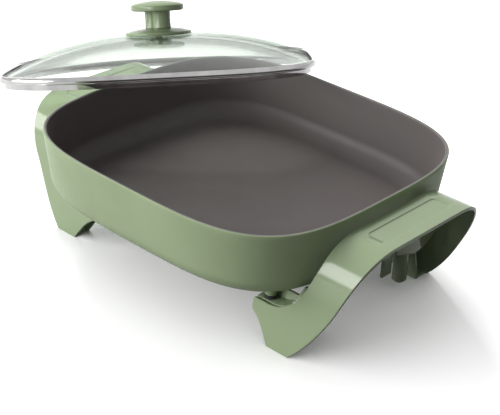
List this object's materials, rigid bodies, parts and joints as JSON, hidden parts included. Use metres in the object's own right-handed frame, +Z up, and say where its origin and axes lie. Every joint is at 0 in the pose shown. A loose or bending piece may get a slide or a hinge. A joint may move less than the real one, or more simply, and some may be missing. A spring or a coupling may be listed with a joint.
{
  "type": "electric skillet",
  "caption": "Rounded rectangular electric skillet on two moulded grip-and-leg handles, inlet for a plug-in control, and a separate domed glass lid with a knob resting askew.",
  "frame": {"origin": "centre of the pan's flat cooking surface", "axes": "+X along the pan towards the handle over the inlet, +Y towards the far long side in the reference view, +Z up; the table is 63.5 mm below the origin"},
  "size_m": [0.6206, 0.4451, 0.1632],
  "materials": {
    "pan_enamel": "satin",
    "sage_plastic": "gloss",
    "heater_sheath": "matt",
    "bright_steel": "polished",
    "ceramic": "matt",
    "dark_rubber": "matt",
    "lid_glass": "clear"
  },
  "bodies": {
    "skillet": {"pan": "pan_enamel", "heating_element": "heater_sheath", "terminal_pins": "bright_steel", "pin_insulators": "ceramic", "probe_sleeve": "bright_steel", "terminal_guard": "sage_plastic", "guard_studs": "bright_steel", "guard_nuts": "bright_steel", "standoffs": "pan_enamel", "handle_right": "sage_plastic", "handle_left": "sage_plastic", "insulating_washers": "dark_rubber", "handle_screws": "bright_steel", "screw_washers": "bright_steel"},
    "lid": {"lid_glass": "lid_glass", "lid_band": "bright_steel", "knob_base": "sage_plastic", "knob_stem": "sage_plastic", "knob_cap": "sage_plastic", "knob_seal": "dark_rubber", "knob_grommet": "dark_rubber", "knob_washer": "bright_steel", "knob_screw": "bright_steel"}
  },
  "joints": [
    {"name": "lid_lift", "type": "slide", "parent": "skillet", "child": "lid", "axis": [0, 0, 1], "range_m": [0, 0.15]}
  ]
}
